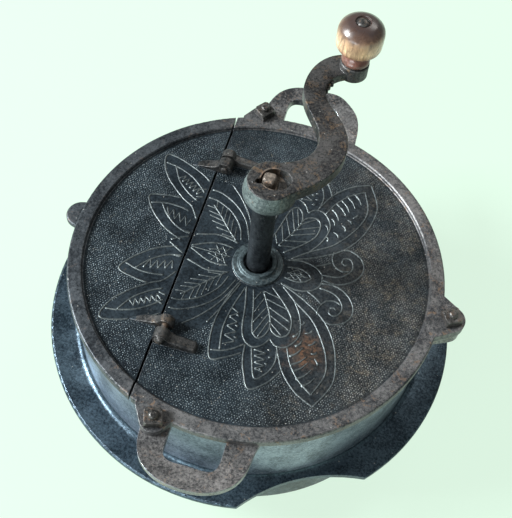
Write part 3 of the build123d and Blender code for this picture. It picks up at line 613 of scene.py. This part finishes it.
def side_of(point):
    """Which casting's flat field a plan point lies on, or None in the gap, on the boss, the band
    or a hinge."""
    if point.length > FIELD_R or point.length < BOSS_R or abs(point.x - SPLIT_X) < SPLIT_CLEAR:
        return None
    key = "lid" if point.x > SPLIT_X else "flap"
    hit = ground[key].ray_cast(Vector((point.x, point.y, 2 * LID_TOP)) * MM, Vector((0, 0, -1)))[0]
    if hit is None or abs(hit.z / MM - FIELD_Z) > GROUND_RISE:
        return None
    return key


def ridge(points, start_w=1.3, end_w=None, height=0.62):
    """Raised line through plan points, cut where it meets the split, the boss or the band."""
    line = smooth_line(points)
    run, where = [], None
    for point in [*line, None]:
        here = side_of(point) if point is not None else None
        if here != where:
            if where and len(run) > 1:
                add_ridge(relief[where], run, start_w, end_w or start_w, height)
            run, where = [], here
        if here:
            run.append(point)


def both(points, *args, **kwargs):
    """The same raised line on the +y and the -y half."""
    for way in (1, -1):
        ridge([(x, way * y) for x, y in points], *args, **kwargs)


def mask(points):
    """Leaf area, on both halves, that carries no stipple."""
    for way in (1, -1):
        MASKS.append(smooth_line([(x, way * y) for x, y in points], 3.0, closed=True))


def zigzag(start, end, width, count, taper=1.0):
    """Zigzag between two parallel lines from start to end, growing or shrinking by taper."""
    a, b = Vector(start), Vector(end)
    side = Vector((a.y - b.y, b.x - a.x)).normalized()
    points = []
    for i in range(count + 1):
        t = i / count
        half = width / 2 * (1 + (taper - 1) * t)
        spot = a.lerp(b, t) + side * (half if i % 2 else -half)
        points.append((spot.x, spot.y))
    for one, two in zip(points, points[1:]):
        both([one, two], 1.5, 0.7, 0.55)


def drops(*tips):
    """Short strokes that swell towards each tip."""
    for x, y in tips:
        both([(x - 2.4, y + 0.3), (x, y)], 0.8, 2.1, 0.65)


def veins(rib, spread, length, count, turn_deg, ways=(1, -1)):
    """Straight veins that leave a midrib at an angle, on one or both sides."""
    line = smooth_line(rib)
    for i in range(count):
        t = (i + 0.6) / count * spread
        k = min(len(line) - 2, int(t * (len(line) - 1)))
        along = (line[k + 1] - line[k]).normalized()
        grow = length * math.sin(math.pi * (0.25 + 0.6 * (i + 0.5) / count))
        for way in ways:
            angle = way * math.radians(turn_deg)
            out = Vector(
                (
                    along.x * math.cos(angle) - along.y * math.sin(angle),
                    along.x * math.sin(angle) + along.y * math.cos(angle),
                )
            )
            tip = line[k] + out * grow
            both([line[k], tip], 0.9, 0.9, 0.5)


# big leaf on the right, its double outline and a herringbone of thick drops
both([(20, -10), (40, -19), (57, -31), (68, -48), (73, -68), (71.5, -80), (64, -95)])
both([(64, -95), (50, -88), (39, -77), (33, -66), (30, -59)])
both([(22, -12), (34, -22), (48, -32), (58, -45), (64.5, -58), (66.5, -71), (61, -87)])
both([(61, -87), (50, -79), (42, -69), (37, -58)])
for thick, thin in (
    ((53.1, -83.0), (60.7, -73.9)),
    ((48.4, -79.1), (57.1, -69.3)),
    ((44.8, -74.4), (53.5, -64.7)),
    ((42.1, -70.1), (51.7, -60.7)),
    ((40.2, -64.0), (47.5, -54.8)),
    ((60.6, -64.6), (57.0, -60.4)),
    ((57.6, -55.4), (53.6, -57.6)),
    ((54.6, -47.4), (50.4, -52.0)),
    ((50.8, -40.2), (46.0, -43.8)),
    ((43.8, -34.6), (41.6, -38.6)),
    ((42.0, -55.4), (45.6, -49.6)),
    ((38.6, -48.6), (41.8, -43.4)),
):
    middle = ((thick[0] + thin[0]) / 2 + 0.8, (thick[1] + thin[1]) / 2 - 0.6)
    both([thick, middle, thin], 2.0, 0.8, 0.6)
mask([(20, -10), (40, -19), (57, -31), (68, -48), (73, -68), (64, -95), (39, -77), (30, -59)])

# heart of two lobes beside it, with an outer line around both
both(
    [
        (3, -21), (6.5, -34), (9.5, -48), (11.5, -54), (15.5, -57), (19.5, -54), (21.5, -48),
        (21.3, -43),
    ]
)
both([(21.5, -46), (25, -50), (31, -51.5), (35.5, -47), (34.5, -36), (27, -26), (15, -15)])
both([(10, -20), (15.5, -30), (19, -37), (21.3, -43)])
for rib_end, tip in (
    ((8.8, -21), (5.6, -29)),
    ((12.5, -24.5), (8.2, -38)),
    ((16, -31), (9.6, -46)),
    ((18.2, -36), (12, -54)),
    ((20.2, -41), (15.5, -56)),
    ((10.5, -20), (24, -22.5)),
    ((13.5, -25.5), (30, -29.5)),
    ((17, -31.5), (34, -38.5)),
    ((19.6, -37.5), (35.2, -45)),
    ((21.3, -43), (31, -50.5)),
):
    both([rib_end, tip], 1.0, 1.0, 0.55)
both([(-2.5, -20), (1, -36), (3.5, -52), (7.5, -61), (14, -64.5), (20.5, -61), (24, -55)])
both([(24, -55), (29, -59), (36, -58), (42, -50), (42.5, -42), (39, -31), (32, -20)])
mask([(-3, -18), (1, -38), (6, -60), (14, -65), (24, -60), (36, -59), (43, -47), (34, -22), (18, -12)])

# small pointed leaf below the heart
both([(9, -64), (10.5, -75), (14, -85), (20, -95), (30, -88), (36, -79), (38, -74)])
both([(14, -65), (17, -75), (22, -86.5), (29, -80), (32, -71), (31, -62)])
zigzag((20, -65), (23.5, -81), 8.5, 7, 0.7)
drops((27.2, -63.6), (28.7, -68.8), (27.6, -74.2), (24.9, -79.0))
mask([(9, -62), (10.5, -75), (20, -95), (36, -79), (38, -70), (28, -58)])

# long leaf towards the front of the flap's hinge
both([(-9, -19), (-14, -38), (-16, -54), (-15, -68), (-11, -81), (-2, -78), (8.5, -71)])
both([(-3, -21), (-7.5, -40), (-9, -57), (-6.5, -73)])
both([(-12.5, -75), (-4, -73), (3, -69), (8.5, -64)])
zigzag((-5, -39), (-2.0, -68), 5.5, 8, 1.5)
drops((-0.6, -44.4), (0.8, -52.4), (2.4, -61.1))
mask([(-9, -19), (-16, -54), (-11, -81), (8.5, -71), (3, -45), (-2, -20)])

# small leaf on the +x axis and the two scrolls beyond it
both([(20, -10), (31, -12.3), (40, -10.5), (46, -6), (48, 0)])
both([(21, -4.5), (30, -5.6), (36, -3.8), (40, 0)])
ridge([(22, 0), (38, 0)], 0.9, 0.9, 0.5)
for x in (26, 31):
    both([(x - 2.5, 0), (x + 3.5, -4.8)], 0.9, 0.9, 0.5)
    both([(x + 2.5, 0), (x - 2, -4.6)], 0.9, 0.9, 0.5)
both(
    [
        (47.5, -1.5), (56, -0.6), (64, -3), (71, -9), (74.5, -18), (71, -27), (62, -31.5),
        (55, -30),
    ]
)
both(
    [
        (47, -5.5), (56, -6.5), (62, -9.5), (66, -15), (66.2, -20), (63, -24.5), (58.5, -23.5),
        (58, -19.5),
    ]
)
both([(50.5, -27), (50.5, -21), (54, -15), (60, -12.8), (65, -14.5)])
both([(58, -19.5), (60.5, -18.2), (62.5, -19.5)])
both([(40, -11), (45, -13.5), (51, -17.5)])
mask([(18, 0), (20, -12), (48, -16), (51, -30), (66, -30), (75, -18), (70, -6), (56, 2), (40, 2)])

# leaves on the -x side, some of them running on over the flap
both([(-18, -13), (-33, -15.5), (-43, -13), (-51, -11), (-60, -11)])
both([(-17, -16), (-21, -27), (-30, -37.5), (-41, -43.5), (-49, -45), (-60, -43)])
both([(-20, -14), (-29, -23), (-38, -33), (-45, -40)])
veins([(-20, -14), (-29, -23), (-38, -33), (-45, -40)], 0.95, 12.5, 6, 38)
both([(-11, -17), (-18, -33), (-28, -44), (-41, -51.5), (-50, -52.5), (-60, -50)])
both([(-8, -18), (-17, -38), (-27, -52), (-37, -62)])
both([(-7, -19), (-15, -42), (-21, -56)])
mask([(-18, -8), (-60, -8), (-64, -30), (-60, -55), (-38, -62), (-20, -58), (-8, -20)])

# small leaf on the -x axis
both([(-20, -7.5), (-27, -8.6), (-36, -7.5), (-50, -1)])
both([(-24, -5.5), (-37, -1.5)], 0.9, 0.9, 0.5)
ridge([(-20, 0), (-51, 0)], 0.9, 0.9, 0.5)
for x in (-23, -28):
    both([(x, 0), (x - 5, -6.8)], 0.9, 0.9, 0.5)
    both([(x - 4, 0), (x + 1, -7.2)], 0.9, 0.9, 0.5)
mask([(-18, 1), (-20, -10), (-60, -12), (-66, 1)])

# leaf with its tip far out on the flap, the outer one of each half
both(
    [
        (-51, 57), (-61, 64), (-75, 70.5), (-86, 74), (-92, 74), (-93, 69), (-88.5, 58),
        (-80, 48), (-68, 38), (-60, 33), (-52, 21),
    ]
)
both([(-91, 66.5), (-82, 65), (-70, 60.5), (-61, 54), (-55, 48)])
both([(-83, 65), (-76, 53), (-66, 44), (-58, 39.5)])
zigzag((-76, 57.4), (-57.5, 46.6), 5.4, 11, 1.1)
mask([(-51, 58), (-75, 71), (-92, 75), (-93, 69), (-80, 48), (-60, 32), (-51, 22)])

# and the inner one, which leans to the axis
both([(-70, 38.5), (-80, 37.5), (-93, 33.5), (-88, 23), (-77, 12), (-68, 6.5), (-59, 3)])
both([(-90, 27.5), (-80, 30.3), (-70, 30.5), (-61, 29)])
both([(-82, 29.5), (-75, 20.5), (-66, 13.5), (-58, 10.5), (-51, 10)])
both([(-66, -1), (-59, -5), (-51, -9)])
for x, y in ((-77, 27.5), (-72, 26.5), (-67, 25), (-62, 23.5)):
    both([(x, y), (x + 3, y - 8)], 1.5, 0.7, 0.55)
    both([(x + 3, y - 8), (x + 5, y - 1)], 0.9, 0.9, 0.45)
mask([(-51, 42), (-70, 39), (-93, 34), (-88, 23), (-75, 11), (-51, 0)])

for where, body in (("lid", "pan_assembly"), ("flap", "flap")):
    piece = mesh_object(f"{where}_relief", relief[where], RIDGE, body)

# ---- stippled ground between the leaves and the band ---------------------------------------------
PITCH = 1.85
STUD_R = 0.70
STUD_H = 0.32
STUD_SIDES = 4
JITTER = 0.34


def on_leaf(point):
    return any(inside(point, outline) for outline in MASKS)


def add_stud(bm, point, size, turn):
    """Low blunt stud with four sides."""
    rings = []
    for reach, rise in ((1.0, -0.3), (0.62, 0.72)):
        ring = []
        for k in range(STUD_SIDES):
            angle = turn + k * math.tau / STUD_SIDES
            spot = point + reach * size * STUD_R * Vector((math.cos(angle), math.sin(angle)))
            ring.append(bm.verts.new((spot.x * MM, spot.y * MM, (FIELD_Z + rise * STUD_H) * MM)))
        rings.append(ring)
    top = bm.verts.new((point.x * MM, point.y * MM, (FIELD_Z + STUD_H) * MM))
    for k in range(STUD_SIDES):
        n = (k + 1) % STUD_SIDES
        bm.faces.new((rings[0][k], rings[0][n], rings[1][n], rings[1][k]))
        bm.faces.new((rings[1][k], rings[1][n], top))


rng = random.Random(7)
studs = {"lid": bmesh.new(), "flap": bmesh.new()}
row_gap = PITCH * math.sqrt(3) / 2
rows = int(FIELD_R / row_gap) + 1
for j in range(-rows, rows + 1):
    for i in range(-rows, rows + 1):
        jitter = Vector((rng.uniform(-JITTER, JITTER), rng.uniform(-JITTER, JITTER)))
        size = rng.uniform(0.6, 1.15)
        turn_angle = rng.uniform(0, math.tau)
        point = Vector(((i + (j % 2) / 2) * PITCH, j * row_gap)) + jitter
        where = side_of(point)
        if where and point.length < FIELD_R - 1.0 and not on_leaf(point):
            add_stud(studs[where], point, size, turn_angle)
for where, body in (("lid", "pan_assembly"), ("flap", "flap")):
    piece = mesh_object(f"{where}_stipple", studs[where], STUD, body)
